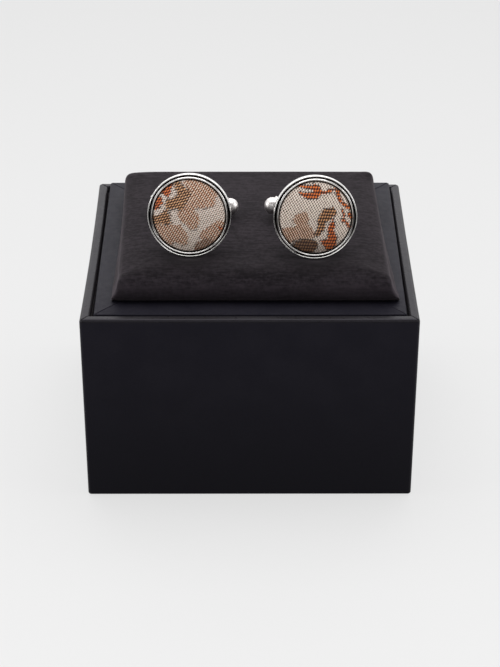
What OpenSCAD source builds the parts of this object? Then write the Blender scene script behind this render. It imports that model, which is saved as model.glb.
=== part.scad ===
// Pair of round silk cufflinks with swivel toggles, standing on the pad of an open gift box.
// Millimetres, +Z up, +X to the viewer's right, the box's front faces -Y.
// The origin is the middle of the box's underside.

/* [Box] */
// Width of the box, left to right
box_w = 80; // [78:1:90]
// Depth of the box, front to back
box_d = 72; // [70:1:84]
// Height of the box walls
box_h = 50; // [40:1:60]
// Thickness of the wrapped board
board_t = 2.2; // [1.8:0.1:2.6]
// Radius of the upright corners
corner_r = 0.9; // [0.4:0.1:1.5]

/* [Platform] */
// Gap between the platform and the left and right walls
side_gap = 0.9; // [0.4:0.1:1.4]
// Gap between the platform and the front and back walls
end_gap = 0.5; // [0.3:0.1:1.2]
// Height of the platform's front edge over the rim
front_rise = 0.1; // [0:0.1:1]
// Height of the platform's back edge over the rim
back_rise = 2; // [0.5:0.1:3]
// Thickness of the platform's board
platform_t = 2; // [1.5:0.1:2.5]

/* [Pad] */
// Width of the pad
pad_w = 65.8; // [62:0.1:67]
// Depth of the pad
pad_d = 55.3; // [52:0.1:58]
// Thickness of the pad at its shoulders
pad_t = 6.2; // [5:0.1:7]
// Rise of the pad's middle over its shoulders
pad_crown = 0.8; // [0.5:0.1:1.5]
// How far the pad's front edge stands to the right of its back edge
pad_skew = 1.2; // [0:0.1:1.5]
// How far the front right corner is drawn out past the right side
pad_ear = 1.8; // [0:0.1:2]

/* [Cufflink] */
// Radius of the silver face
face_r = 10.1; // [9.5:0.1:10.5]
// Depth of the silver cup, front ring to back
cup_depth = 3.3; // [2.8:0.1:3.6]
// Radius of the silk dome
dome_r = 8.75; // [8.5:0.05:8.8]
// Height of the dome's middle over the inner ring
dome_rise = 1.3; // [0.8:0.1:2]
// Distance from the front ring to the toggle's pivot
reach = 18.7; // [18:0.1:19.5]
// Length of the toggle
toggle_l = 22.2; // [20:0.2:23]
// Greatest radius of the toggle
toggle_r = 2.8; // [2.5:0.1:3]
// Radius of the toggle's round ends
tip_r = 2.1; // [1.9:0.1:2.3]
// Radius of the pivot pin
pin_r = 0.7; // [0.6:0.05:0.8]

/* [Stance] */
// Backward lean of both faces
lean = 18; // [16:0.5:19]
// Turn of the left face, away from the middle
left_turn = 2; // [0:0.5:4]
// Turn of the right face, away from the middle
right_turn = 3; // [0:0.5:4]
// Roll of the left cufflink, lowering its inner toggle end
left_roll = 3.5; // [0:0.5:5]
// Roll of the right cufflink, raising its inner toggle end
right_roll = 1.5; // [0:0.5:3]

/* [Hidden] */

// Face centres, where the plane of the front ring meets each cufflink's axis
left_face = [-14.41, -15.37, 66.93];
right_face = [15.74, -16.31, 66.88];

// Platform outline and the slope of its top
platform_w = box_w - 2 * board_t - 2 * side_gap;
platform_d = box_d - 2 * board_t - 2 * end_gap;
platform_slope = atan((back_rise - front_rise) / platform_d);
platform_mid_z = box_h + (front_rise + back_rise) / 2;

// The pad's centre lies this far in front of the platform's
pad_shift = 0.65;
// Play between the pad's dents and the cups that stand in them
dent_play = 0.25;

// The pad's outline at several heights: front, side and back inset, height, corner radius
pad_levels = [
    [0.9, 0.8, 0.6, 0, 0.6],
    [0.1, 0.1, 0.05, 1.6, 0.8],
    [0, 0, 0, 2.6, 0.9],
    [0.5, 0.1, 0, pad_t - 1.8, 1.1],
    [1.7, 0.4, 0.15, pad_t - 0.2, 1.3],
    [3, 0.9, 0.5, pad_t + 0.45 * pad_crown, 1.6],
    [6, 2.4, 1.5, pad_t + 0.85 * pad_crown, 2.2],
    [14, 9, 7, pad_t + pad_crown, 5]
];
slab_t = 0.05;
// The front left corner's share of the front right corner's reach
left_ear_share = 0.6;

// Rings of the cup, as radii from the axis
inner_wall_r = 8.85;
inner_crest_r = 9.1;
groove_in_r = 9.35;
groove_out_r = 9.55;
outer_step = 0.45;
outer_rise = 1;
back_draw = 0.2;
groove_depth = 1;
seat_depth = 2;
edge_r = 0.3;

// Post: a flat blade from a soldered flange to the pivot
flange_r = 3.4;
flange_t = 0.6;
blade_t = 1.7;
blade_w = 2.8;
blade_root_w = 5.2;
root_l = 4;
slot_w = 2.0;
slot_inner = 2.4;
slot_back = 1.8;
pin_play = 0.05;
pin_l = 4.6;

// Toggle profile: a bead behind each round end, and the flat left at the tip
bead_x = 8.1;
bead_r = 0.45;
bead_sink = 0.2;
end_flat = 0.1;
taper_steps = 9;

module rounded_box(w, d, h, r) {
    linear_extrude(height = h) {
        square([w - 2 * r, d], center = true);
        square([w, d - 2 * r], center = true);
        for (sx = [-1, 1], sy = [-1, 1])
            translate([sx * (w / 2 - r), sy * (d / 2 - r)])
                circle(r = r, $fn = 32);
    }
}

module outer_box() {
    color("#1d1c21")
        difference() {
            rounded_box(box_w, box_d, box_h, corner_r);
            translate([0, 0, board_t])
                rounded_box(box_w - 2 * board_t, box_d - 2 * board_t, box_h, corner_r / 2);
        }
}

// Upright prism whose top slopes up to the back
module sloped_prism(w, d, bottom, mid_top) {
    rise = d / 2 * tan(platform_slope);
    rotate([90, 0, 90])
        translate([0, 0, -w / 2])
            linear_extrude(height = w)
                polygon([
                    [-d / 2, bottom],
                    [d / 2, bottom],
                    [d / 2, mid_top + rise],
                    [-d / 2, mid_top - rise]
                ]);
}

// Board platform: a sloping deck on four skirts that stand on the box's floor
module insert_platform() {
    color("#232227")
        difference() {
            sloped_prism(platform_w, platform_d, board_t, platform_mid_z);
            sloped_prism(
                platform_w - 2 * platform_t,
                platform_d - 2 * platform_t,
                0,
                platform_mid_z - platform_t
            );
        }
}

// Places a shape on the platform's sloping deck
module on_deck() {
    translate([0, 0, platform_mid_z])
        rotate([platform_slope, 0, 0])
            translate([0, -pad_shift, 0])
                children();
}

// One level of the pad: a round at each corner, the front ones drawn out low down
module pad_level(front_in, side_in, back_in, z, r) {
    x = pad_w / 2 - side_in - r;
    front = pad_d / 2 - front_in - r;
    back = pad_d / 2 - back_in - r;
    ear = pad_ear * (1 - min(z, pad_t) / pad_t);
    corners = [
        [-x, back],
        [x, back],
        [x + pad_skew + ear, -front],
        [-x + pad_skew - left_ear_share * ear, -front]
    ];
    for (c = corners)
        translate([c[0], c[1], z == 0 ? 0 : z - slab_t])
            cylinder(r = r, h = slab_t, $fn = 32);
}

module pad_body() {
    hull()
        for (level = pad_levels)
            pad_level(level[0], level[1], level[2], level[3], level[4]);
}

module display_pad() {
    color("#2b292c")
        difference() {
            on_deck() pad_body();
            left_place() dent();
            right_place() dent();
        }
}

// The space that a cup presses into the pad
module dent() {
    translate([0, 0, -cup_depth - dent_play])
        cylinder(r = face_r + dent_play, h = cup_depth - outer_step + 2 * dent_play, $fn = 96);
}

// Frames of the two cufflinks: +Z out of the face, +X along the toggle, origin in the ring's plane
module left_place() {
    translate(left_face)
        rotate([0, 0, -left_turn])
            rotate([90 - lean, 0, 0])
                rotate([0, 0, -left_roll])
                    children();
}

module right_place() {
    translate(right_face)
        rotate([0, 0, right_turn])
            rotate([90 - lean, 0, 0])
                rotate([0, 0, -right_roll])
                    children();
}

// Points on an arc from one angle to another
function arc(cx, cy, r, a0, a1, n) = [
    for (i = [0:n]) [cx + r * cos(a0 + (a1 - a0) * i / n), cy + r * sin(a0 + (a1 - a0) * i / n)]
];

// The cup turned from its half section: back, rounded rim, outer ring, groove, inner ring and seat
module cup() {
    crest = face_r - back_draw - edge_r;
    ring_half = (face_r - groove_out_r) / 2;
    ring_r = face_r - ring_half;
    // Outside, the outer ring draws in toward its top and the wall behind it toward the back
    shoulder = [for (a = [0:15:75]) [ring_r + ring_half * cos(a), outer_rise * (sin(a) - 1) - outer_step]];
    rotate_extrude($fn = 128)
        polygon(concat(
            [[0, -cup_depth]],
            arc(crest, -cup_depth + edge_r, edge_r, -90, 0, 5),
            shoulder,
            arc(ring_r, -outer_step - ring_half, ring_half, 90, 180, 5),
            [[groove_out_r, -groove_depth], [groove_in_r, -groove_depth]],
            arc(inner_crest_r, -(groove_in_r - inner_crest_r), groove_in_r - inner_crest_r, 0, 180, 8),
            [[inner_wall_r, -seat_depth], [0, -seat_depth]]
        ));
}

// Blade outline in the plane of the toggle's swing, root at the flange, round end at the pivot
module blade_outline() {
    top = -cup_depth - flange_t / 2;
    polygon([
        [-blade_root_w / 2, top],
        [blade_root_w / 2, top],
        [blade_w / 2, top - root_l],
        [blade_w / 2, -reach],
        [-blade_w / 2, -reach],
        [-blade_w / 2, top - root_l]
    ]);
    translate([0, -reach]) circle(d = blade_w, $fn = 48);
}

// Swing plane to cufflink frame: the outline's second axis becomes the cufflink's Z
module in_swing_plane(t) {
    rotate([90, 0, 0])
        translate([0, 0, -t / 2])
            linear_extrude(height = t)
                children();
}

module bezel() {
    color("#d9dadc")
        difference() {
            union() {
                cup();
                translate([0, 0, -cup_depth - flange_t])
                    cylinder(r = flange_r, h = flange_t + 0.2, $fn = 64);
                in_swing_plane(blade_t) blade_outline();
            }
            translate([0, 0, -reach])
                rotate([90, 0, 0])
                    cylinder(r = pin_r + pin_play, h = 2 * blade_t, center = true, $fn = 48);
        }
}

// Silk over a domed former: a spherical cap on a short upright edge
module silk_dome() {
    edge_z = -0.15;
    rise = dome_rise - edge_z;
    cap_r = (dome_r * dome_r + rise * rise) / (2 * rise);
    bottom = -seat_depth + 0.05;
    color("#b79a80")
        intersection() {
            translate([0, 0, bottom])
                cylinder(r = dome_r, h = dome_rise - bottom + 1, $fn = 96);
            translate([0, 0, dome_rise - cap_r])
                sphere(r = cap_r, $fn = 192);
        }
}

// Radius of the toggle's barrel at a distance from the pivot
function barrel_r(x) = tip_r + (toggle_r - tip_r) * (1 - pow(x / bead_x, 2));

// One half of the toggle's outline, as radius and distance, from the middle to the round end
function half_outline() = concat(
    [for (i = [0:taper_steps]) let (x = (bead_x - bead_r) * i / taper_steps) [barrel_r(x), x]],
    arc(tip_r - bead_sink, bead_x, bead_r, -70, 70, 6),
    arc(end_flat, toggle_l / 2 + end_flat - tip_r, tip_r - end_flat, 0, 90, 10),
    [[0, toggle_l / 2]]
);

// Barrel-shaped toggle with round ends, slotted for the blade and drilled for the pin
module toggle() {
    half = half_outline();
    last = len(half) - 1;
    color("#d9dadc")
        translate([0, 0, -reach])
            difference() {
                rotate([0, 90, 0])
                    rotate_extrude($fn = 64)
                        polygon(concat([for (i = [last:-1:1]) [half[i][0], -half[i][1]]], half));
                slot();
                rotate([90, 0, 0])
                    cylinder(r = pin_r, h = 3 * toggle_r, center = true, $fn = 48);
            }
}

// Slot on the face's side of the toggle, open through the outer end, so the toggle can fold in line
module slot() {
    translate([-slot_inner, -slot_w / 2, -slot_back])
        cube([slot_inner + toggle_l, slot_w, slot_back + 2 * toggle_r]);
}

module pin() {
    color("#c9cacc")
        translate([0, 0, -reach])
            rotate([90, 0, 0])
                cylinder(r = pin_r, h = pin_l, center = true, $fn = 48);
}

outer_box();
insert_platform();
display_pad();
left_place() bezel();  // left_bezel
left_place() silk_dome();  // left_silk_dome
left_place() mirror([1, 0, 0]) toggle();  // left_toggle
left_place() pin();  // left_pin
right_place() bezel();  // right_bezel
right_place() silk_dome();  // right_silk_dome
right_place() toggle();  // right_toggle
right_place() pin();  // right_pin
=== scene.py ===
"""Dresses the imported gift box, its pad and both silk cufflinks, and sets the camera, floor and lights."""

import math

import bmesh
import bpy
import numpy as np
from mathutils import Matrix, Vector


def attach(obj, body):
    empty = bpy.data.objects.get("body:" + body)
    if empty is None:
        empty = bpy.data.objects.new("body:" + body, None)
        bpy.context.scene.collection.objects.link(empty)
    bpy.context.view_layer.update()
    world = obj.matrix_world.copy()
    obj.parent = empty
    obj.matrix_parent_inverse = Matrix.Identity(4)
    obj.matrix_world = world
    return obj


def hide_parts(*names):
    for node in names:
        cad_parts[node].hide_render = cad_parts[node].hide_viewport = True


MM = 0.001
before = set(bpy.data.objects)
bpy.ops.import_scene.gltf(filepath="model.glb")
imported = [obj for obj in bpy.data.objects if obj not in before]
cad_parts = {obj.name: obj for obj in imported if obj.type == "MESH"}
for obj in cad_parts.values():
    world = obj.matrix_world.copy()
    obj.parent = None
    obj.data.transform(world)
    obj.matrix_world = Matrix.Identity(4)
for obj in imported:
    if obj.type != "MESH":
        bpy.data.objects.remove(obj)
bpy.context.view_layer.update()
scene = bpy.context.scene
rng = np.random.default_rng(7)

# Sizes of the box and the platform, in mm
BOX_HW, BOX_HD, BOX_H, WALL = 40.0, 36.0, 50.0, 2.2
CORNER_R = 0.9
DECK_HW, DECK_HD, PLATFORM_T = 36.9, 33.3, 2.0
# The deck's height in its middle, and its rise toward the back
DECK_MID, DECK_SLOPE = 51.05, 1.9 / (2 * DECK_HD)

# Stance of the two cufflinks, in mm and degrees
LEAN, REACH = 18.0, 18.7
FACES = {
    "left": {"at": (-14.41, -15.37, 66.93), "yaw": -2.0, "roll": -3.5, "motif_shift": (0.07, -0.28)},
    "right": {"at": (15.74, -16.31, 66.88), "yaw": 3.0, "roll": -1.5, "motif_shift": (0.2, -0.28)},
}
FACE_R, BACK_R, CUP_DEPTH = 10.1, 9.9, 3.3
# Turns of each toggle about its face's upright, at rest and at the ends of its swing, in degrees
SWINGS = {"left": (-15.0, 0.0, 5.0), "right": (-15.0, 0.0, 9.0)}


def deck_z(y):
    """Height of the deck at a depth."""
    return DECK_MID + DECK_SLOPE * y


def face_frame(side):
    """From a cufflink's own axes, x along the toggle and z out of the face, to the frame, in mm."""
    stance = FACES[side]
    turn = Matrix.Rotation(math.radians(stance["yaw"]), 4, "Z")
    lean = Matrix.Rotation(math.radians(90.0 - LEAN), 4, "X")
    roll = Matrix.Rotation(math.radians(stance["roll"]), 4, "Z")
    return Matrix.Translation(stance["at"]) @ turn @ lean @ roll


def on_deck():
    """From the deck's axes, z square to the slope, to the frame, in mm."""
    return Matrix.Translation((0.0, 0.0, DECK_MID)) @ Matrix.Rotation(math.atan(DECK_SLOPE), 4, "X")


def tone(r, g, b):
    """A screen colour from 0 to 255 as the linear colour that the nodes take."""
    return tuple(((c / 255.0 + 0.055) / 1.055) ** 2.4 if c > 10 else c / 255.0 / 12.92 for c in (r, g, b))


# Camera
def make_camera():
    """The photo's camera, fitted to the box's corners: no shift, long side of the frame 667 px."""
    yaw, tilt, roll = math.radians(0.142), math.radians(30.768), math.radians(-0.026)
    focal_px, long_side_px = 1837.4, 667.0
    ahead = Vector((math.sin(yaw) * math.cos(tilt), math.cos(yaw) * math.cos(tilt), -math.sin(tilt)))
    side = Vector((math.cos(yaw), -math.sin(yaw), 0))
    down = ahead.cross(side)
    right = math.cos(roll) * side + math.sin(roll) * down
    down = -math.sin(roll) * side + math.cos(roll) * down
    cam = bpy.data.objects.new("camera", bpy.data.cameras.new("camera"))
    scene.collection.objects.link(cam)
    pose = Matrix((right, -down, -ahead)).transposed().to_4x4()
    pose.translation = Vector((-0.84, -406.97, 267.32)) * MM
    cam.matrix_world = pose
    cam.data.sensor_width = 36.0
    cam.data.sensor_fit = "AUTO"
    cam.data.lens = focal_px * cam.data.sensor_width / long_side_px
    cam.data.clip_start = 0.01
    scene.camera = cam


# Material helper
class Nodes:
    """A node material built by small calls; sockets or plain numbers may be passed anywhere."""

    def __init__(self, name):
        self.mat = bpy.data.materials.new(name)
        self.mat.use_nodes = True
        self.tree = self.mat.node_tree
        self.tree.nodes.clear()
        self.out = self.tree.nodes.new("ShaderNodeOutputMaterial")

    def put(self, socket, value):
        """Links a socket, or sets a plain value; a colour may come without its alpha."""
        if isinstance(value, bpy.types.NodeSocket):
            self.tree.links.new(value, socket)
        elif isinstance(value, tuple) and len(value) == 3 and socket.type == "RGBA":
            socket.default_value = (*value, 1)
        elif value is not None:
            socket.default_value = value

    def node(self, kind, inputs=None, **props):
        n = self.tree.nodes.new(kind)
        for key, value in props.items():
            setattr(n, key, value)
        for key, value in (inputs or {}).items():
            self.put(n.inputs[key], value)
        return n

    def math(self, op, a, b=None, c=None):
        return self.node("ShaderNodeMath", {0: a, 1: b, 2: c}, operation=op).outputs[0]

    def mix(self, fac, a, b):
        return self.node("ShaderNodeMix", {0: fac, 6: a, 7: b}, data_type="RGBA").outputs[2]

    def span(self, value, low, high, to_low=0.0, to_high=1.0, smooth=True):
        """The value's place between low and high, as a place between two other values."""
        n = self.node(
            "ShaderNodeMapRange",
            {0: value, 1: low, 2: high, 3: to_low, 4: to_high},
            interpolation_type="SMOOTHSTEP" if smooth else "LINEAR",
        )
        return n.outputs[0]

    def noise(self, vector, scale, detail=3.0, rough=0.5):
        inputs = {"Vector": vector, "Scale": scale, "Detail": detail, "Roughness": rough}
        return self.node("ShaderNodeTexNoise", inputs).outputs["Fac"]

    def coords(self):
        return self.node("ShaderNodeTexCoord").outputs["Object"]

    def attribute(self, name, kind="Fac"):
        return self.node("ShaderNodeAttribute", attribute_name=name).outputs[kind]

    def apart(self, vector):
        return self.node("ShaderNodeSeparateXYZ", {0: vector}).outputs[:3]

    def times(self, product, *factors):
        """The product of all the values."""
        for factor in factors:
            product = self.math("MULTIPLY", product, factor)
        return product

    def plus(self, base, value, weight):
        """The base with the value added at a weight."""
        return self.math("MULTIPLY_ADD", value, weight, base)

    def vector(self, op, a, b):
        return self.node("ShaderNodeVectorMath", {0: a, 1: b}, operation=op).outputs[0]

    def scaled(self, vector, gain):
        return self.node("ShaderNodeVectorMath", {0: vector, "Scale": gain}, operation="SCALE").outputs[0]

    def wave(self, vector, degrees, pitch):
        """0 to 1 and back once each pitch, along a direction."""
        x, y, _ = self.apart(vector)
        turn = 2 * math.pi / pitch
        phase = self.times(x, turn * math.cos(math.radians(degrees)))
        phase = self.plus(phase, y, turn * math.sin(math.radians(degrees)))
        return self.plus(0.5, self.math("SINE", phase), 0.5)

    def threads(self, height, dark, ground, light, low, high):
        """Thread colours by the height of the weave: dark gaps, the ground colour, light crowns."""
        color = self.mix(self.span(height, *low), tone(*dark), tone(*ground))
        return self.mix(self.span(height, *high), color, tone(*light))

    def bump(self, height, distance, strength):
        n = self.node("ShaderNodeBump", {"Height": height, "Distance": distance, "Strength": strength})
        return n.outputs[0]

    def principled(self, color, **inputs):
        """The finished material, from the shader's inputs by name."""
        named = {key.replace("_", " "): value for key, value in inputs.items()}
        n = self.node("ShaderNodeBsdfPrincipled", {"Base Color": color, **named})
        self.tree.links.new(n.outputs[0], self.out.inputs[0])
        return self.mat


# Stage and light
def make_stage():
    """A pale, evenly lit floor and large soft lights above, behind, in front and at both sides."""
    scene.view_settings.view_transform = "Standard"
    mesh = bpy.data.meshes.new("studio_floor")
    half_side = 3000 * MM
    corners = [(x * half_side, y * half_side, 0) for x, y in ((-1, -1), (1, -1), (1, 1), (-1, 1))]
    mesh.from_pydata(corners, [], [(0, 1, 2, 3)])
    floor = bpy.data.objects.new("studio_floor", mesh)
    scene.collection.objects.link(floor)
    m = Nodes("studio_floor")
    grain = m.span(m.noise(m.coords(), 40.0), 0.3, 0.7, 0.86, 0.88)
    _, depth, _ = m.apart(m.coords())
    glow = m.mix(m.span(depth, -100 * MM, 300 * MM, smooth=False), (1.0, 1.0, 1.0), (0.86, 0.86, 0.86))
    m.principled(
        (0.14, 0.14, 0.14),
        Roughness=grain,
        Specular_IOR_Level=0.0,
        Emission_Color=glow,
        Emission_Strength=0.68,
    )
    mesh.materials.append(m.mat)

    # The room is pale behind and beside, and darker toward the photographer's side
    full_dark, full_pale, dark_tone, pale_tone, room_light = -0.55, 0.0, 0.05, 1.0, 1.05
    world = bpy.data.worlds.new("studio")
    scene.world = world
    world.use_nodes = True
    tree = world.node_tree
    toward = tree.nodes.new("ShaderNodeTexCoord")
    parts = tree.nodes.new("ShaderNodeSeparateXYZ")
    ramp = tree.nodes.new("ShaderNodeMapRange")
    ramp.interpolation_type = "SMOOTHSTEP"
    for i, value in enumerate((full_dark, full_pale, dark_tone, pale_tone), 1):
        ramp.inputs[i].default_value = value
    tree.links.new(toward.outputs["Generated"], parts.inputs[0])
    tree.links.new(parts.outputs[1], ramp.inputs[0])
    tree.links.new(ramp.outputs[0], tree.nodes["Background"].inputs[0])
    tree.nodes["Background"].inputs[1].default_value = room_light

    def softbox(name, at, size, power):
        light = bpy.data.lights.new(name, "AREA")
        light.shape = "RECTANGLE"
        light.size, light.size_y = size[0] * MM, size[1] * MM
        light.energy = power
        obj = bpy.data.objects.new(name, light)
        scene.collection.objects.link(obj)
        obj.location = Vector(at) * MM
        obj.rotation_euler = (Vector((0, 0, BOX_H)) - Vector(at)).to_track_quat("-Z", "Y").to_euler()

    softbox("top_light", (0, 200, 700), (600, 460), 2.8)
    softbox("back_light", (0, 900, 560), (1500, 620), 3.8)
    softbox("front_light", (0, -800, 620), (700, 350), 1.6)
    softbox("left_light", (-650, 0, 330), (380, 380), 1.2)
    softbox("right_light", (650, 0, 330), (380, 380), 1.2)


# Finishes
def leatherette():
    """Black cover with a fine grain: dull on the platform, painted paler on the rims as a painted highlight
    and low inside the walls as painted light, and painted darker toward the foot as painted shade.
    """
    foot_shade_tone, cover_tones = (0.0008, 0.0007, 0.0014), ((0.0050, 0.0046, 0.0078), (0.0074, 0.0068, 0.0104))
    rim_highlight_tone, inner_wall_light_tone = (0.0150, 0.0138, 0.0155), (0.21, 0.2, 0.21)
    m = Nodes("black_leatherette")
    at = m.coords()
    cells = m.node("ShaderNodeTexVoronoi", {"Vector": at, "Scale": 2600.0}, feature="DISTANCE_TO_EDGE")
    grain = m.span(cells.outputs["Distance"], 0.0, 0.35)
    cloud = m.noise(at, 120.0, 4.0)
    color = m.mix(m.span(cloud, 0.35, 0.7), *cover_tones)
    rough = m.span(m.noise(at, 700.0), 0.3, 0.7, 0.29, 0.37)

    # The platform's top and the rims round it are told apart by the distance from the deck's edges, in mm
    x, y, z = m.apart(m.scaled(at, 1 / MM))
    # Painted shade: the cover is painted darker toward the foot of the box
    color = m.mix(m.span(z, 0.0, BOX_H), foot_shade_tone, color)
    away_x, away_y = m.math("ABSOLUTE", x), m.math("ABSOLUTE", y)
    from_side, from_end = m.math("SUBTRACT", DECK_HW, away_x), m.math("SUBTRACT", DECK_HD, away_y)
    within = m.span(m.math("MINIMUM", from_side, from_end), -0.42, -0.32)
    raised = m.span(z, BOX_H - 1.0, BOX_H - 0.3)
    on_platform = m.times(within, raised)
    rough = m.plus(rough, on_platform, m.span(y, -18.0, -30.0, 0.17, 0.21))
    # The grain runs the other way on the platform's front strip, which looks duller than its side strips
    strip = m.span(m.math("SUBTRACT", from_side, from_end), -0.1, 0.1)
    rough = m.plus(rough, m.times(strip, on_platform, m.math("LESS_THAN", y, -15.0)), 0.12)
    # The rims are painted paler, a painted highlight, and made glossier
    rim = m.math("SUBTRACT", raised, on_platform)
    color = m.mix(rim, color, rim_highlight_tone)
    rough = m.plus(rough, rim, -0.02)
    # Low inside the walls, in the shaded gap round the platform, the cover is painted paler: painted light
    deep = m.times(
        m.span(z, BOX_H - 1.0, BOX_H - 1.6),
        m.math("LESS_THAN", away_x, BOX_HW - 2.3),
        m.math("LESS_THAN", away_y, BOX_HD - 1.8),
    )
    return m.principled(
        m.mix(deep, color, inner_wall_light_tone),
        Roughness=rough,
        Specular_IOR_Level=0.12,
        Specular_Tint=(0.84, 0.8, 1.0, 1),
        Normal=m.bump(m.plus(m.times(grain, 0.6), cloud, 0.8), 0.03 * MM, 0.5),
    )


def suede():
    """Charcoal suede with a mottled nap and a faint rib from left to right."""
    tones = ((0.0045, 0.0036, 0.0046), (0.0185, 0.0150, 0.0182))
    m = Nodes("charcoal_suede")
    at = m.coords()
    rib = m.noise(m.vector("MULTIPLY", at, (300.0, 1500.0, 1500.0)), 1.0, 2.0, 0.6)
    nap = m.noise(at, 1100.0, 3.0, 0.6)
    cloud = m.noise(at, 90.0, 3.0)
    mottled = m.plus(m.plus(m.times(rib, 0.42), nap, 0.4), cloud, 0.18)
    # Painted shade darkens the pad over its front shoulder and toward its back; below the shoulder its front
    # face is painted lighter, painted light, and its mottle is more even
    _, y, z = m.apart(m.scaled(at, 1 / MM))
    above_deck = m.plus(m.math("SUBTRACT", z, DECK_MID), y, -DECK_SLOPE)
    front_face = m.times(m.span(above_deck, 7.0, 3.4), m.span(y, -19.5, -23.5))
    shoulder_and_back_shade = m.times(m.span(y, -12.0, -19.0, 1.0, 0.8), m.span(y, -12.0, 20.0, 1.0, 0.86))
    even = m.plus(mottled, m.math("SUBTRACT", 0.5, mottled), m.times(front_face, 0.7))
    gain = m.times(shoulder_and_back_shade, m.plus(1.0, front_face, 1.9))
    # Painted shadow darkens it where the cups rest
    gain = m.times(gain, m.math("SUBTRACT", 1.0, m.attribute("cup_shadow")))
    return m.principled(
        m.scaled(m.mix(m.span(even, 0.38, 0.62), *tones), gain),
        Roughness=0.95,
        Specular_IOR_Level=0.1,
        Sheen_Weight=0.12,
        Sheen_Roughness=0.45,
        Sheen_Tint=(0.78, 0.68, 0.74, 1),
        Normal=m.bump(mottled, 0.1 * MM, 0.6),
    )


def plated(name, bright, rough):
    """Silver plate; the attribute shade is 1 down in the groove, where painted shade makes the plate dark.
    """
    groove_shade_tone = (0.020, 0.014, 0.013)
    m = Nodes(name)
    haze = m.noise(m.coords(), 900.0, 2.0)
    worn = m.mix(haze, tuple(c - 0.05 for c in bright), bright)
    return m.principled(
        m.mix(m.attribute("shade"), worn, groove_shade_tone),
        Metallic=1.0,
        Roughness=m.span(haze, 0.3, 0.7, rough, rough + 0.05),
    )


# Each thread's weave: directions in degrees and pitches in mm of its two rows, and the first row's share
WEAVES = {
    "left": {
        "cream": ((152, 0.5), (106, 0.474), 0.5),
        "tan": ((150, 0.53), (109, 0.52), 0.64),
        "gold": ((106, 0.61), (151, 0.534), 0.5),
    },
    "right": {
        "cream": ((129.5, 0.5), (27.5, 0.57), 0.52),
        "tan": ((27, 0.53), (125, 0.5), 0.64),
        "gold": ((160, 0.6), (86, 0.76), 0.52),
    },
}
# Each thread's screen colours in its gaps, on its ground and on its crowns, and the heights between them
THREADS = {
    "left": {
        "cream": ((62, 42, 34), (221, 197, 181), (253, 245, 236), (0.11, 0.43), (0.5, 0.86)),
        "tan": ((52, 22, 10), (184, 123, 86), (250, 233, 214), (0.18, 0.51), (0.54, 0.86)),
        "gold": ((3, 2, 2), (130, 80, 46), (240, 188, 142), (0.37, 0.52), (0.55, 0.8)),
        "rust": ((14, 4, 2), (172, 73, 26), (244, 142, 84), (0.34, 0.53), (0.57, 0.84)),
    },
    "right": {
        "cream": ((22, 13, 10), (221, 197, 181), (253, 245, 234), (0.17, 0.45), (0.5, 0.82)),
        "tan": ((34, 14, 7), (172, 114, 78), (240, 218, 198), (0.19, 0.51), (0.54, 0.84)),
        "gold": ((3, 2, 2), (122, 73, 40), (222, 166, 118), (0.36, 0.52), (0.55, 0.8)),
        "rust": ((14, 4, 2), (168, 68, 16), (246, 136, 60), (0.34, 0.53), (0.57, 0.84)),
    },
}


def woven_silk(side):
    """Jacquard weave: a cream ground with specks, a tan twill, and gold and rust threads over black."""
    waver_mm, uneven = 0.25, 0.12
    edge_tone, dim_shade_tone, tuck_shade_tone = tone(18, 13, 13), tone(52, 30, 20), tone(22, 14, 10)
    m = Nodes(f"{side}_woven_silk")
    # The threads waver a little from their straight lines
    at = m.attribute("face_mm", "Vector")
    waver = m.node("ShaderNodeTexNoise", {"Vector": at, "Scale": 0.9, "Detail": 1.0}).outputs["Color"]
    at = m.vector("ADD", at, m.scaled(m.vector("SUBTRACT", waver, (0.5, 0.5, 0.5)), waver_mm))
    fine = m.noise(at, 2.4, 3.0, 0.7)
    heights = {}
    for name, (first, second, share) in WEAVES[side].items():
        height = m.plus(m.times(m.wave(at, *first), share), m.wave(at, *second), 1 - share)
        heights[name] = m.math("ADD", height, m.span(fine, 0.3, 0.7, -uneven, uneven))
    heights["rust"] = heights["gold"]
    relief = heights["cream"]
    color = m.threads(relief, *THREADS[side]["cream"])
    for name in ("tan", "gold", "rust"):
        share = m.attribute(name)
        color = m.mix(share, color, m.threads(heights[name], *THREADS[side][name]))
        relief = m.mix(share, relief, heights[name])
    gaps = m.span(heights["gold"], 0.38, 0.54, 1.0, 0.0)
    color = m.mix(m.times(m.attribute("edge"), gaps), color, edge_tone)
    # Painted shade over the dim areas low on the face and along the dome's lower edge
    color = m.mix(m.attribute("dim"), color, dim_shade_tone)
    # Painted shade in the crevice where the silk's edge tucks down inside the inner ring
    color = m.mix(m.attribute("tuck"), color, tuck_shade_tone)
    return m.principled(
        color,
        Roughness=m.span(fine, 0.3, 0.7, 0.45, 0.55),
        Specular_IOR_Level=0.4,
        Sheen_Weight=0.1,
        Sheen_Roughness=0.3,
        Normal=m.bump(relief, 0.03 * MM, 0.4),
    )


# Mesh helpers
def add_piece(name, points, faces, material):
    """A smooth shaded piece from points in mm."""
    mesh = bpy.data.meshes.new(name)
    mesh.from_pydata([tuple(c * MM for c in p) for p in points], [], faces)
    work = bmesh.new()
    work.from_mesh(mesh)
    bmesh.ops.recalc_face_normals(work, faces=work.faces)
    work.to_mesh(mesh)
    work.free()
    return add_object(name, mesh, material)


def add_object(name, mesh, material):
    """A smooth shaded piece from a mesh, on the body that doesn't move."""
    mesh.materials.clear()
    mesh.materials.append(material)
    mesh.polygons.foreach_set("use_smooth", [True] * len(mesh.polygons))
    obj = bpy.data.objects.new(name, mesh)
    scene.collection.objects.link(obj)
    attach(obj, "root")
    return obj


def add_layer(mesh, name, values):
    """Stores one value for each point, which a material reads by its name."""
    mesh.attributes.new(name, "FLOAT", "POINT").data.foreach_set("value", values)


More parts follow.
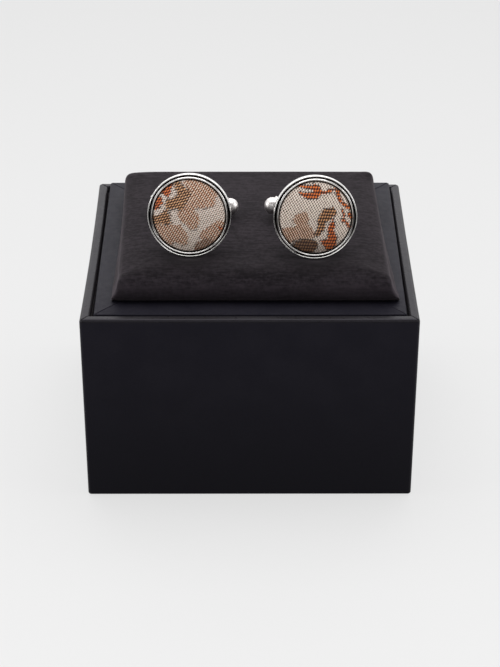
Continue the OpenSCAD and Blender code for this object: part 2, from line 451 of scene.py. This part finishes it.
def ring_faces(rows, columns, close_rows=False, first=0):
    """Quads between rows of points that each close on themselves."""
    faces = []
    for i in range(rows if close_rows else rows - 1):
        below, above = first + i * columns, first + (i + 1) % rows * columns
        for j in range(columns):
            k = (j + 1) % columns
            faces.append((below + j, below + k, above + k, above + j))
    return faces


def end_caps(rows, columns):
    """One face over the first row of points and one over the last."""
    return [tuple(range(columns)), tuple((rows - 1) * columns + j for j in range(columns))]


def arc(center, r, start, end, steps):
    """Points on a circle, from one angle in degrees to another."""
    angles = [math.radians(start + (end - start) * i / steps) for i in range(steps + 1)]
    return [(center[0] + r * math.cos(a), center[1] + r * math.sin(a)) for a in angles]


def lathe(profile, segments):
    """Points and quads of a profile, as radius and height, turned round the z axis."""
    points = []
    for r, z in profile:
        for j in range(segments):
            a = 2 * math.pi * j / segments
            points.append((r * math.cos(a), r * math.sin(a), z))
    return points, ring_faces(len(profile), segments) + end_caps(len(profile), segments)


CORNER_STEPS, SIDE_STEPS = 8, 12
# How much of a corner's crease each step round the corner takes
CREASE = {3: 0.45, 4: 1.0, 5: 0.45}


def corner_loop(sides, r, height, dip=0.0, bow=(0.0, 0.0)):
    """A rounded outline from its left, right, front and back.

    The height is a function of x and y, dip is the depth of the corners' creases, and bow is how far the
    right and the left side draw in halfway along.
    """
    left, right, front, back = sides
    loop = []
    corners = ((right, front, 1, -1), (right, back, 1, 1), (left, back, -1, 1), (left, front, -1, -1))
    for k, (cx, cy, sx, sy) in enumerate(corners):
        for i, (x, y) in enumerate(arc((cx - sx * r, cy - sy * r), r, 90 * k - 90, 90 * k, CORNER_STEPS)):
            loop.append((x, y, height(x, y) - dip * CREASE.get(i, 0.0)))
        if k in (0, 2):
            for i in range(1, SIDE_STEPS):
                t = i / SIDE_STEPS
                y = cy - sy * (r + (back - front - 2 * r) * t)
                x = cx - sx * bow[k // 2] * 4 * t * (1 - t)
                loop.append((x, y, height(x, y)))
    return loop


def wrapped_shell(name, profile, replaced):
    """Board wrapped in leatherette: one loop for each row of the profile, closed at both ends."""
    points = []
    for row in profile:
        points += corner_loop(*row)
    columns = len(points) // len(profile)
    faces = ring_faces(len(profile), columns) + end_caps(len(profile), columns)
    wrap = add_piece(name, points, faces, LEATHERETTE)
    weighted = wrap.modifiers.new("weighted_normals", "WEIGHTED_NORMAL")
    weighted.weight = 80
    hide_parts(replaced)


def level(z):
    """The same height all round a loop."""
    return lambda x, y: z


def make_box():
    """The outer box: floor, inner walls, a rim with rounded edges and mitred corner folds, outer walls."""
    rim_w, outer_r, foot_r, least_r = 2.48, 0.85, 0.45, 0.4
    inner_w, inner_end_w, inner_drop, lining_drop = 0.75, 0.3, 0.9, 6.0
    crease, crease_from = 0.28, 0.2
    bow_left, bow_right, bowed_drop = 0.28, 0.1, 8.0
    back_rise, left_rise = 0.42, 0.12
    floor_in, foot_in = WALL + 6.0, 4.0

    def rim(drop):
        """The wall's top, a little higher toward the back and in the back left corner."""
        return lambda x, y: (
            BOX_H - drop + back_rise * (y + BOX_HD) / (2 * BOX_HD) - left_rise * x / BOX_HW * (y > 0)
        )

    def row(side_w, end_w, height, dip=0.0, bow=1.0):
        sides = (side_w - BOX_HW, BOX_HW - side_w, end_w - BOX_HD, BOX_HD - end_w)
        return (sides, max(CORNER_R - side_w, least_r), height, dip, (bow_right * bow, bow_left * bow))

    profile = [row(floor_in, floor_in, level(WALL)), row(rim_w, WALL, level(WALL))]
    profile.append(row(rim_w, WALL, rim(lining_drop)))
    for x, z in arc((0, 0), 1, 0, 90, 7):
        side_w, end_w = rim_w - inner_w * (1 - x), WALL - inner_end_w * (1 - x)
        profile.append(row(side_w, end_w, rim(inner_drop * (1 - z)), crease))
    for x, z in arc((outer_r, 0), outer_r, 90, 180, 8):
        profile.append(row(x, x, rim(outer_r - z), crease if x > crease_from else 0.0))
    profile.append(row(0.0, 0.0, level(BOX_H - bowed_drop)))
    profile.append(row(0.0, 0.0, level(BOX_H / 2), bow=0.5))
    for x, z in arc((foot_r, foot_r), foot_r, 180, 270, 4):
        profile.append(row(x, x, level(z), bow=0.0))
    profile.append(row(foot_in, foot_in, level(0.0), bow=0.0))
    wrapped_shell("outer_box_wrap", profile, "outer_box")


def make_platform():
    """The platform: a sloping deck with mitred strips, rounded edges and skirts down to the box's floor."""
    edge_r, end_r, crease, corner_r = 0.5, 0.3, 0.16, 0.4
    left, right, front, back = -36.82, 37.15, -33.55, DECK_HD
    inner_w = 11.0

    def below_deck(drop):
        return lambda x, y: deck_z(y) - drop

    def row(inset, height, dip=0.0, end_inset=None):
        end = inset if end_inset is None else end_inset
        return ((left + inset, right - inset, front + end, back - end), corner_r, height, dip)

    profile = [row(inner_w, below_deck(PLATFORM_T)), row(PLATFORM_T, below_deck(PLATFORM_T))]
    profile += [row(PLATFORM_T, level(WALL)), row(0.0, level(WALL))]
    for x, z in arc((0, 0), 1, 180, 90, 7):
        dip = crease if x > -0.8 else 0.0
        profile.append(row(edge_r * (1 + x), below_deck(edge_r * (1 - z)), dip, end_r * (1 + x)))
    profile += [row(w, below_deck(0.0), crease) for w in (1.2, 2.5, 4.0, 5.5, 7.0)]
    profile.append(row(inner_w, below_deck(0.0)))
    wrapped_shell("platform_wrap", profile, "insert_platform")


# Pad, in the deck's axes, in mm: half width, front and back, and how far its front is skewed and drawn out
PAD_HW, PAD_FRONT, PAD_BACK = 32.9, -28.3, 27.0
PAD_SKEW, RIGHT_EAR, LEFT_EAR, EAR_H = 1.2, 3.0, 2.6, 4.5
# Front, side and back insets, height and corner radius of each level of the pad
PAD_LEVELS = (
    (1.4, 1.2, 0.9, 0.0, 0.5),
    (0.8, 0.7, 0.5, 0.2, 0.5),
    (0.35, 0.3, 0.2, 0.7, 0.6),
    (0.1, 0.1, 0.05, 1.5, 0.7),
    (0.0, 0.0, 0.0, 2.5, 0.9),
    (0.12, 0.03, 0.0, 3.4, 1.0),
    (0.42, 0.08, 0.0, 4.3, 1.1),
    (0.95, 0.16, 0.0, 5.2, 1.2),
    (1.7, 0.5, 0.0, 6.0, 1.3),
    (2.7, 1.2, 0.05, 6.5, 1.6),
    (4.0, 2.6, 0.2, 6.8, 2.0),
    (6.0, 4.2, 0.7, 6.95, 2.4),
    (9.0, 6.2, 2.0, 7.0, 3.0),
    (13.0, 9.0, 5.0, 7.0, 5.0),
    (17.0, 12.0, 9.0, 7.0, 7.0),
)
# Height of the pad's top, and the height from which its cloth gives way
PAD_TOP, PAD_SHOULDER = PAD_LEVELS[-1][3], 3.0


def pad_loop(front_in, side_in, back_in, h, r):
    """One level of the pad, with both front corners drawn out low down."""
    low = max(0.0, 1.0 - h / EAR_H) ** 2
    right = PAD_HW - side_in
    corners = (
        (right + PAD_SKEW + RIGHT_EAR * low, PAD_FRONT + front_in, -90),
        (right, PAD_BACK - back_in, 0),
        (-right, PAD_BACK - back_in, 90),
        (-right + PAD_SKEW - LEFT_EAR * low, PAD_FRONT + front_in, 180),
    )
    loop = []
    for x, y, start in corners:
        center = (x - math.copysign(r, x), y - math.copysign(r, y))
        loop += [(px, py, h) for px, py in arc(center, r, start, start + 90, 8)]
    return loop


def evaluated(mesh, name, **settings):
    """The mesh as one modifier leaves it."""
    obj = bpy.data.objects.new("work", mesh)
    scene.collection.objects.link(obj)
    modifier = obj.modifiers.new(name, name)
    for key, value in settings.items():
        setattr(modifier, key, value)
    made = bpy.data.meshes.new_from_object(obj.evaluated_get(bpy.context.evaluated_depsgraph_get()))
    bpy.data.objects.remove(obj)
    return made


def read_points(mesh):
    co = np.zeros(len(mesh.vertices) * 3)
    mesh.vertices.foreach_get("co", co)
    return co.reshape(-1, 3)


def write_points(mesh, co):
    mesh.vertices.foreach_set("co", np.asarray(co, float).ravel())
    mesh.update()


def puff(mesh, pinned, cap):
    """Cloth with pressure from within for some frames; no point moves further than the cap."""
    frames = 20
    rest = read_points(mesh)
    obj = bpy.data.objects.new("puff", mesh)
    scene.collection.objects.link(obj)
    group = obj.vertex_groups.new(name="pinned")
    group.add([int(i) for i in np.nonzero(pinned)[0]], 1.0, "REPLACE")
    cloth = obj.modifiers.new("cloth", "CLOTH")
    cloth.settings.quality = 5
    cloth.settings.mass = 0.3
    cloth.settings.tension_stiffness = 12
    cloth.settings.compression_stiffness = 12
    cloth.settings.shear_stiffness = 5
    cloth.settings.bending_stiffness = 0.4
    cloth.settings.use_pressure = True
    cloth.settings.uniform_pressure_force = 4.0
    cloth.settings.effector_weights.gravity = 0.0
    cloth.settings.vertex_group_mass = "pinned"
    cloth.point_cache.frame_start = 1
    cloth.point_cache.frame_end = frames
    for step in range(1, frames + 1):
        scene.frame_set(step)
    made = bpy.data.meshes.new_from_object(obj.evaluated_get(bpy.context.evaluated_depsgraph_get()))
    shift = read_points(made) - rest
    far = np.linalg.norm(shift, axis=1, keepdims=True)
    write_points(mesh, rest + shift * np.minimum(1.0, cap / np.maximum(far, 1e-9)))
    bpy.data.objects.remove(obj)
    scene.frame_set(1)
    return mesh


def moved(points, matrix):
    """An array of points, moved by a 4 x 4 matrix."""
    matrix = np.array(matrix)
    return points @ matrix[:3, :3].T + matrix[:3, 3]


def cup_dents(co):
    """How far each point of the pad's top has to sink, square to the deck, to stay clear of the cups."""
    play, step, steps = 0.18, 0.04, 40
    sink = np.zeros(len(co))
    for side in FACES:
        to_cup = face_frame(side).inverted() @ on_deck()
        for _ in range(steps):
            x, y, z = moved(co - np.outer(sink, (0, 0, 1)), to_cup).T
            hit = (np.hypot(x, y) < FACE_R + play) & (z < play - OUTER_STEP) & (z > -CUP_DEPTH - play)
            sink[hit & (co[:, 2] > PAD_SHOULDER)] += step
    return sink


def swing_dents(co):
    """How far each point of the pad's top has to sink to stay clear of the toggles over their swing."""
    play, reach, above_top = 0.08, 0.9, 0.5
    sink = np.zeros(len(co))
    pivot = Matrix.Translation((0.0, 0.0, -REACH))
    for side, angles in SWINGS.items():
        to_frame = face_frame(side)
        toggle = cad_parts[f"{side}_toggle"]
        points = np.array([toggle.matrix_world @ v.co for v in toggle.data.vertices]) / MM
        for angle in angles:
            swung = to_frame @ pivot @ Matrix.Rotation(math.radians(angle), 4, "Y") @ pivot.inverted()
            placed = moved(points, on_deck().inverted() @ swung @ to_frame.inverted())
            for x, y, z in placed[placed[:, 2] < PAD_TOP + above_top]:
                under = (np.hypot(co[:, 0] - x, co[:, 1] - y) < reach) & (co[:, 2] > PAD_SHOULDER)
                sink[under] = np.maximum(sink[under], co[under, 2] - z + play)
    return sink


def softened(co, sink):
    """Adds a soft slope round each dent, as cloth over foam has."""
    slope, least_dent, slope_from = 1.3, 0.05, 4.0
    spread = sink.copy()
    low = np.nonzero(sink > least_dent)[0]
    for x, y, depth in zip(co[low, 0], co[low, 1], sink[low]):
        near = np.exp(-((co[:, 0] - x) ** 2 + (co[:, 1] - y) ** 2) / (2 * slope**2))
        spread = np.maximum(spread, depth * near * (co[:, 2] > slope_from))
    return spread


def back_lift(x, y, z):
    """How far the pad's back edge is puffed up, less at its left end and more in its right corner."""
    along, corner, at_y, width = 0.3, 0.25, 26.5, 2.4
    lift = along * np.clip((x + 33.0) / 8.0, 0.15, 1) + corner * np.clip((x - 29.0) / 3.0, 0, 1)
    return lift * np.exp(-(((y - at_y) / width) ** 2)) * np.clip((z - PAD_SHOULDER) / 3.0, 0, 1)


def cup_shadow_spots(co):
    """How dark the painted shadow is, from 0 to 1: a soft oval at each cup's foot."""
    strength, half_w, half_d, ahead = 0.62, 5.0, 3.2, 5.0
    cup_shadow = np.zeros(len(co))
    for stance in FACES.values():
        across, along = (co[:, 0] - stance["at"][0]) / half_w, (co[:, 1] - stance["at"][1] + ahead) / half_d
        cup_shadow += strength * np.exp(-(across**2) - along**2)
    return cup_shadow


def make_pad():
    """Suede over foam: a skin over the pad's levels, puffed as cloth, with dents under cups and toggles."""
    # The cloth is simulated ten times larger; all other values are in mm
    scale, voxel, shrink, pinned_h, cap, least_h = 10.0, 0.7, 0.12, 0.35, 0.3, 0.06
    loops = [pad_loop(*row) for row in PAD_LEVELS]
    rows, columns = len(loops), len(loops[0])
    mesh = bpy.data.meshes.new("pad")
    points = [tuple(c * scale * MM for c in p) for loop in loops for p in loop]
    mesh.from_pydata(points, [], ring_faces(rows, columns) + end_caps(rows, columns))
    mesh = evaluated(mesh, "REMESH", mode="VOXEL", voxel_size=voxel * scale * MM)
    mesh = evaluated(mesh, "SMOOTH", factor=0.5, iterations=1)
    normals = np.zeros(len(mesh.vertices) * 3)
    mesh.vertices.foreach_get("normal", normals)
    rest = read_points(mesh)
    pinned = rest[:, 2] < pinned_h * scale * MM
    write_points(mesh, rest - normals.reshape(-1, 3) * (shrink * scale * MM) * ~pinned[:, None])
    mesh = puff(mesh, pinned, cap * scale * MM)
    co = read_points(mesh)
    grown = [np.ptp(rest[:, i]) / np.ptp(co[:, i]) for i in range(3)]
    write_points(mesh, (co - co.mean(0) * (1, 1, 0)) * grown + rest.mean(0) * (1, 1, 0))
    mesh = evaluated(mesh, "SUBSURF", levels=1, render_levels=1)
    co = read_points(mesh) / (scale * MM)
    co[:, 2] = np.maximum(co[:, 2], least_h)
    co[:, 2] += back_lift(*co.T)
    co[:, 2] -= softened(co, np.maximum(cup_dents(co), swing_dents(co)))
    write_points(mesh, moved(co, on_deck()) * MM)
    pad = add_object("pad_cloth", mesh, SUEDE)
    add_layer(mesh, "cup_shadow", cup_shadow_spots(co))
    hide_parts("display_pad")


# Cufflinks, in mm: the cup's two rings, the groove between them and the silk's seat
GROOVE_IN_R, GROOVE_OUT_R, GROOVE_Z = 9.31, 9.62, -0.85
INNER_WALL_R, INNER_CREST_R, OUTER_CREST_R = 8.87, 9.14, 9.92
OUTER_STEP, OUTER_RISE, SEAT_Z = 0.45, 1.0, -2.0
# The post's flat blade, its wider root, its flange and its bore
BLADE_T, BLADE_W, BLADE_ROOT_W, ROOT_L = 1.7, 2.8, 5.2, 4.0
FLANGE_T, FLANGE_R, BORE_R = 0.6, 3.4, 0.75


def cup_profile():
    """Half section of the cup with its soldered flange, from the flange's middle round to the seat's."""
    rim_r, solder_r, lip_r = 0.3, 0.22, 0.2
    middle_r, seat_r = 0.4, 7.5
    back = -CUP_DEPTH
    flange_z = back - FLANGE_T
    outer_out, outer_in = FACE_R - OUTER_CREST_R, OUTER_CREST_R - GROOVE_OUT_R
    inner_out, inner_in = GROOVE_IN_R - INNER_CREST_R, INNER_CREST_R - INNER_WALL_R
    profile = [(middle_r, flange_z)]
    profile += arc((FLANGE_R - lip_r, flange_z + lip_r), lip_r, -90, 0, 4)
    profile += arc((FLANGE_R + solder_r, back - solder_r), solder_r, 180, 90, 4)
    profile += arc((BACK_R - rim_r, back + rim_r), rim_r, -90, 0, 6)
    for x, z in arc((0, 0), 1, 0, 90, 12)[:-1]:
        profile.append((FACE_R - outer_out * (1 - x), OUTER_RISE * (z - 1) - OUTER_STEP))
    profile += arc((OUTER_CREST_R, -OUTER_STEP - outer_in), outer_in, 90, 180, 10)
    profile += [(GROOVE_OUT_R, GROOVE_Z), (GROOVE_IN_R, GROOVE_Z)]
    profile += arc((INNER_CREST_R, -inner_out), inner_out, 0, 90, 8)
    profile += arc((INNER_CREST_R, -inner_in), inner_in, 90, 180, 8)[1:]
    profile += [(r, SEAT_Z) for r in (INNER_WALL_R, seat_r, middle_r)]
    return profile


def blade_rings():
    """Loops of the post's blade: bore, face and edge on one side, then the same on the other."""
    bevel, flare = 0.12, 1.6
    half, root_half = BLADE_W / 2, BLADE_ROOT_W / 2
    top = -CUP_DEPTH - FLANGE_T / 2
    root = top - ROOT_L
    outline = arc((0.0, -REACH), half, 180, 360, 24)
    right = [(half, -REACH + (root + REACH) * i / 8) for i in range(1, 9)]
    right += [(half + (root_half - half) * (i / 5) ** flare, root + ROOT_L * i / 5) for i in range(1, 6)]
    right += [(root_half * (1 - i / 3), top) for i in range(1, 3)]
    outline += right + [(0.0, top)] + [(-x, z) for x, z in reversed(right)]
    bore, inner = [], []
    for x, z in outline:
        away = Vector((x, z + REACH))
        bore.append((away.normalized() * BORE_R)[:])
        inner.append((away * (1 - bevel / away.length))[:])
    loops = []
    for y, order in ((BLADE_T / 2, 1), (-BLADE_T / 2, -1)):
        trio = [
            [(x, y, z - REACH) for x, z in bore],
            [(x, y, z - REACH) for x, z in inner],
            [(x, y - math.copysign(bevel, y), z) for x, z in outline],
        ]
        loops += trio[::order]
    return loops


def groove_shade(points):
    """How much painted shade and painted dark reflection darken the plate at each point of a cup, from 0 to
    1.
    """
    inner_from, inner_deep, outer_from, outer_deep = 0.28, 0.48, 0.62, 0.78
    flank, flank_in_r, flank_out_r, flank_shade = 0.2, 9.1, 9.72, 0.85
    x, y, z = np.array(points).T
    r = np.hypot(x, y)
    inner = r < (GROOVE_IN_R + GROOVE_OUT_R) / 2
    # Painted shade down in the groove between the rings, and in the crevice beside the silk
    down = np.clip((-z - inner_from) / (inner_deep - inner_from), 0, 1) * inner
    down += np.clip((-z - outer_from) / (outer_deep - outer_from), 0, 1) * ~inner
    crevice = (r < INNER_WALL_R + 0.02) & (z > SEAT_Z - 0.01)
    shade = down * ((r > GROOVE_IN_R - flank) & (r < GROOVE_OUT_R + flank)) + crevice
    # Across the face's left and right the two flanks of the groove are painted dark, a painted reflection of
    # the dark ends of the room
    sideways = np.clip((np.abs(x) / np.maximum(r, 0.1) - 0.86) / 0.1, 0, 1)
    shade += flank_shade * sideways * ((r > flank_in_r) & (r < flank_out_r) & (z > GROOVE_Z - 0.1))
    return np.clip(shade, 0, 1)


def make_cup(side):
    """Double-ring cup, flange and post, as one soldered piece."""
    points, faces = lathe(cup_profile(), 256)
    loops = blade_rings()
    faces += ring_faces(len(loops), len(loops[0]), close_rows=True, first=len(points))
    points += [p for loop in loops for p in loop]
    to_frame = face_frame(side)
    placed = [to_frame @ Vector(p) for p in points]
    cup = add_piece(f"{side}_cup", placed, faces, PLATED)
    add_layer(cup.data, "shade", groove_shade(points))
    weighted = cup.modifiers.new("weighted_normals", "WEIGHTED_NORMAL")
    weighted.weight = 50
    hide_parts(f"{side}_bezel")


# Motifs of the two silks, and the dim areas low on each face that get painted shade, as outlines in mm in
# the face's plane, x to the right and y up
MOTIFS = {
    "left": {
        "tan": [
            [(-1.5, 7.8), (0.5, 8.6), (3.0, 8.4), (5.4, 7.1), (7.2, 5.4), (6.4, 3.9), (6.4, 2.8), (5.1, 1.8),
             (1.5, 1.7), (1.6, 0.7), (2.4, 0.3), (2.7, -2.0), (1.5, -3.5), (0.4, -3.5), (-0.5, -2.4),
             (-2.1, -1.3), (-2.8, 0.7), (-1.3, 2.0), (-0.5, 3.9), (0.3, 4.7), (-0.5, 6.5)],
            [(-8.6, -2.4), (-5.4, -2.4), (-4.1, -2.2), (-2.1, -2.1), (-1.1, -3.4), (-0.2, -4.2),
             (-0.3, -7.1), (-2.1, -7.2), (-3.3, -6.8), (-4.6, -7.6), (-7.0, -5.4)],
            [(8.8, -1.4), (6.7, -1.3), (5.6, -2.1), (3.5, -3.5), (2.4, -5.1), (3.1, -6.1), (2.1, -7.1),
             (4.2, -8.0), (6.6, -6.2), (8.4, -3.8)],
            [(1.4, -7.1), (2.7, -6.4), (4.5, -5.9), (5.9, -6.4), (4.5, -7.8), (2.7, -8.8), (1.2, -8.6)],
        ],
        "gold": [
            [(-3.6, 8.2), (-2.1, 7.9), (-0.7, 6.5), (0.2, 5.6), (0.3, 4.6), (-0.5, 3.9), (-0.6, 3.0),
             (-1.2, 2.2), (-1.5, 1.3), (-2.7, 1.2), (-3.4, 1.6), (-4.2, 1.3), (-5.4, 1.7), (-5.5, 2.6),
             (-5.4, 3.4), (-4.5, 3.8), (-3.4, 4.2), (-2.7, 4.9), (-2.9, 5.5), (-3.3, 6.5)],
            [(-5.8, 0.7), (-5.3, 1.5), (-4.7, 1.0), (-4.8, 0.1), (-4.2, -0.9), (-4.4, -2.2), (-5.4, -2.3),
             (-8.6, -2.4), (-8.8, -0.9), (-8.0, -0.3), (-6.6, 0.1)],
        ],
        "rust": [
            [(-4.9, 7.4), (-3.9, 7.4), (-4.2, 6.3), (-4.7, 6.3), (-4.5, 5.8), (-4.1, 5.5), (-4.3, 5.1),
             (-5.0, 4.2), (-5.5, 4.2), (-6.2, 4.9), (-6.9, 5.4), (-6.3, 6.3)],
            [(-7.8, 4.1), (-6.5, 4.1), (-6.5, 3.4), (-6.1, 2.8), (-6.3, 2.4), (-6.9, 2.3), (-7.0, 1.6),
             (-7.8, 1.2), (-8.6, 1.4), (-8.4, 3.0)],
            [(7.0, -2.9), (8.5, -2.7), (8.4, -3.3), (7.1, -3.4)],
        ],
        "dim": [
            [(1.2, -6.9), (2.7, -6.2), (4.5, -5.6), (6.4, -6.0), (4.5, -8.4), (1.2, -8.9)],
        ],
    },
    "right": {
        "tan": [
            [(-5.4, -0.5), (-4.1, 1.1), (-2.1, 1.4), (-1.6, 0.8), (-1.5, -0.5), (-1.8, -1.6), (-0.9, -2.5),
             (0.0, -3.5), (0.1, -4.7), (-0.9, -5.3), (-3.4, -5.5), (-4.4, -5.6), (-6.6, -6.4), (-8.2, -3.7),
             (-7.7, -2.5), (-5.9, -2.4), (-4.9, -2.4), (-4.6, -1.7)],
        ],
        "gold": [
            [(2.4, 2.1), (4.3, 2.2), (5.0, 1.5), (5.1, 0.6), (4.5, 0.0), (3.7, -0.3), (3.0, -1.0),
             (1.9, -0.9), (1.1, -0.5), (1.4, 1.1)],
            [(0.9, -0.3), (2.5, -0.9), (2.4, -1.6), (2.1, -3.0), (1.4, -4.0), (0.6, -4.7), (0.0, -4.3),
             (0.3, -3.4), (0.6, -2.1), (0.6, -1.1)],
            [(-4.2, -5.6), (-1.8, -5.4), (0.1, -5.8), (0.6, -6.6), (0.3, -7.7), (-1.1, -8.8), (-3.0, -8.8),
             (-4.5, -7.9), (-5.2, -6.8)],
        ],
        "rust": [
            [(-3.9, 8.0), (-2.6, 7.6), (-1.3, 7.5), (0.0, 7.7), (0.9, 7.5), (1.5, 6.8), (1.7, 5.7),
             (1.1, 4.9), (0.2, 4.3), (-0.9, 4.3), (-2.0, 4.6), (-3.0, 5.1), (-3.9, 6.1), (-1.9, 5.8),
             (-0.4, 5.8), (0.2, 6.2), (-0.9, 6.6), (-2.4, 6.9), (-3.8, 7.4)],
            [(1.6, 6.1), (2.7, 6.0), (3.3, 6.5), (4.5, 6.7), (4.6, 6.0), (3.5, 5.9), (2.8, 5.5), (1.6, 5.4)],
            [(4.9, 6.7), (5.9, 6.4), (6.0, 5.4), (6.3, 4.4), (6.7, 3.4), (8.3, 2.2), (8.7, 1.1), (7.5, 2.0),
             (6.3, 2.8), (5.6, 4.2), (5.1, 5.4)],
            [(6.4, 1.9), (6.9, 1.3), (7.2, -0.1), (7.2, -0.9), (7.9, -1.6), (8.6, -2.5), (8.3, -3.2),
             (7.2, -1.7), (6.5, -1.3), (6.7, 0.2)],
            [(7.9, 0.7), (8.8, 0.7), (8.8, -0.5), (7.9, -0.3)],
            [(4.3, -0.4), (4.6, -1.0), (4.7, -2.4), (4.4, -3.4), (5.1, -4.5), (5.2, -6.1), (5.1, -7.1),
             (4.3, -7.9), (3.0, -8.4), (2.3, -7.5), (1.9, -6.7), (1.2, -5.8), (3.0, -5.4), (3.2, -4.3),
             (3.2, -2.5), (3.8, -1.3)],
        ],
        "dim": [
            [(-5.4, -5.6), (-1.8, -5.4), (0.1, -5.8), (0.8, -6.6), (0.5, -8.0), (-1.1, -9.0), (-5.4, -8.8)],
        ],
    },
}


# How dark the painted shade is over the motifs' dim areas and the dome's lower edge, and how far a thread
# strays in mm
DIMNESS = {"left": 0.5, "right": 0.68}
LOW_DIMNESS = {"left": 0.08, "right": 0.36}
STRAY = {"left": 0.22, "right": 0.1}


def inside(x, y, outline):
    """Which points lie inside a closed outline."""
    odd = np.zeros(len(x), bool)
    for (x0, y0), (x1, y1) in zip(outline, outline[1:] + outline[:1]):
        if y0 == y1:
            continue
        crosses = (y0 > y) != (y1 > y)
        odd ^= crosses & (x < (x1 - x0) * (y - y0) / (y1 - y0) + x0)
    return odd


def motif_weights(side, x, y):
    """How much of each thread and shade shows at each point, in steps of one cell of the weave."""
    cell, cells, edge_shade, tan_edge_shade = 0.34, 64, 0.95, 0.75
    low_from, low_full = -4.5, -8.0
    column, row = np.floor(x / cell).astype(int), np.floor(y / cell).astype(int)
    stray = rng.uniform(-STRAY[side], STRAY[side], (2, cells, cells))[:, column % cells, row % cells]
    x = (column + 0.5) * cell + stray[0]
    y = (row + 0.5) * cell + stray[1]

    def covered(kind, dx=0.0, dy=0.0):
        return np.any([inside(x + dx, y + dy, outline) for outline in MOTIFS[side][kind]], axis=0)

    def near(kind, steps):
        """Whether any step leads into or out of a motif of this kind."""
        return np.any([covered(kind, dx * cell, dy * cell) != covered(kind) for dx, dy in steps], axis=0)

    weights = {kind: covered(kind).astype(float) for kind in ("tan", "gold", "rust")}
    # Painted shade over the dim areas and the dome's lower edge, which turns away from the light
    low = np.clip((y - low_from) / (low_full - low_from), 0, 1)
    weights["dim"] = np.maximum(DIMNESS[side] * covered("dim"), LOW_DIMNESS[side] * low)
    # Dark threads run round the rust and gold motifs and below the tan ones
    around = ((1, 0), (-1, 0), (0, 1), (0, -1))
    edge = edge_shade * (near("rust", around) | near("gold", around))
    weights["edge"] = np.maximum(edge, tan_edge_shade * (near("tan", ((0, 1),)) & ~covered("tan")))
    return weights


# The dome's edge radius, the height of its crown and of its edge
DOME_R, DOME_RISE, DOME_EDGE_Z = 8.74, 1.3, -0.15


def make_silk(side):
    """Silk drawn over a domed former: a low dome whose edge tucks down inside the inner ring."""
    rings, segments, tuck, tuck_depth = 84, 360, 0.45, 0.75
    pucker_h, pucker_w, pucker_counts = 0.035, 1.6, (11, 17, 23, 31, 43)
    tuck_shade, shade_from_r, shade_w = 0.85, 8.35, 0.3
    base_z = SEAT_Z + 0.06
    rise = DOME_RISE - DOME_EDGE_Z
    cap_r = (DOME_R**2 + rise**2) / (2 * rise)
    angles = np.arange(segments) * 2 * math.pi / segments
    pucker = np.zeros(segments)
    for count in pucker_counts:
        size = rng.uniform(0.3, 1.0) / len(pucker_counts)
        pucker += size * np.cos(count * angles + rng.uniform(0, 6.3))
    points = []
    for i in range(1, rings + 1):
        r = DOME_R * i / rings
        edge = max(0.0, (r - (DOME_R - tuck)) / tuck)
        z = DOME_RISE - cap_r + math.sqrt(cap_r**2 - r**2)
        z -= tuck_depth * (1 - math.sqrt(max(0.0, 1 - edge**2)))
        high = pucker_h * max(0.0, 1 - (DOME_R - r) / pucker_w) ** 2 * (1 - edge)
        points += [(r * math.cos(a), r * math.sin(a), z + high * p) for a, p in zip(angles, pucker)]
    points += [(DOME_R * math.cos(a), DOME_R * math.sin(a), base_z) for a in angles]
    crown, base = len(points), len(points) + 1
    points += [(0.0, 0.0, DOME_RISE), (0.0, 0.0, base_z)]
    faces = ring_faces(rings + 1, segments)
    for j in range(segments):
        k = (j + 1) % segments
        faces.append((crown, j, k))
        faces.append((base, rings * segments + k, rings * segments + j))
    to_frame = face_frame(side)
    placed = [to_frame @ Vector(p) for p in points]
    silk = add_piece(f"{side}_silk", placed, faces, woven_silk(side))
    unrolled = Matrix.Rotation(math.radians(FACES[side]["roll"]), 3, "Z")
    flat = np.array(points) @ np.array(unrolled).T
    from_middle = np.hypot(flat[:, 0], flat[:, 1])
    flat[:, :2] += FACES[side]["motif_shift"]
    silk.data.attributes.new("face_mm", "FLOAT_VECTOR", "POINT").data.foreach_set("vector", flat.ravel())
    weights = motif_weights(side, flat[:, 0], flat[:, 1])
    # Painted shade at the silk's edge, where it tucks down beside the inner ring
    weights["tuck"] = tuck_shade * np.clip((from_middle - shade_from_r) / shade_w, 0, 1)
    for name, weight in weights.items():
        add_layer(silk.data, name, weight)
    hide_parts(f"{side}_silk_dome")


def dress(node, material):
    """Gives a carried-over CAD node its finish."""
    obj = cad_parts[node]
    obj.data.materials.clear()
    obj.data.materials.append(material)


make_camera()
make_stage()
LEATHERETTE, SUEDE = leatherette(), suede()
PLATED = plated("polished_plate", (0.98, 0.96, 0.94), 0.07)
SATIN = plated("satin_plate", (0.70, 0.67, 0.66), 0.36)
make_box()
make_platform()
make_pad()
for face_side in FACES:
    make_cup(face_side)
    make_silk(face_side)
    for part in ("toggle", "pin"):
        dress(f"{face_side}_{part}", SATIN)
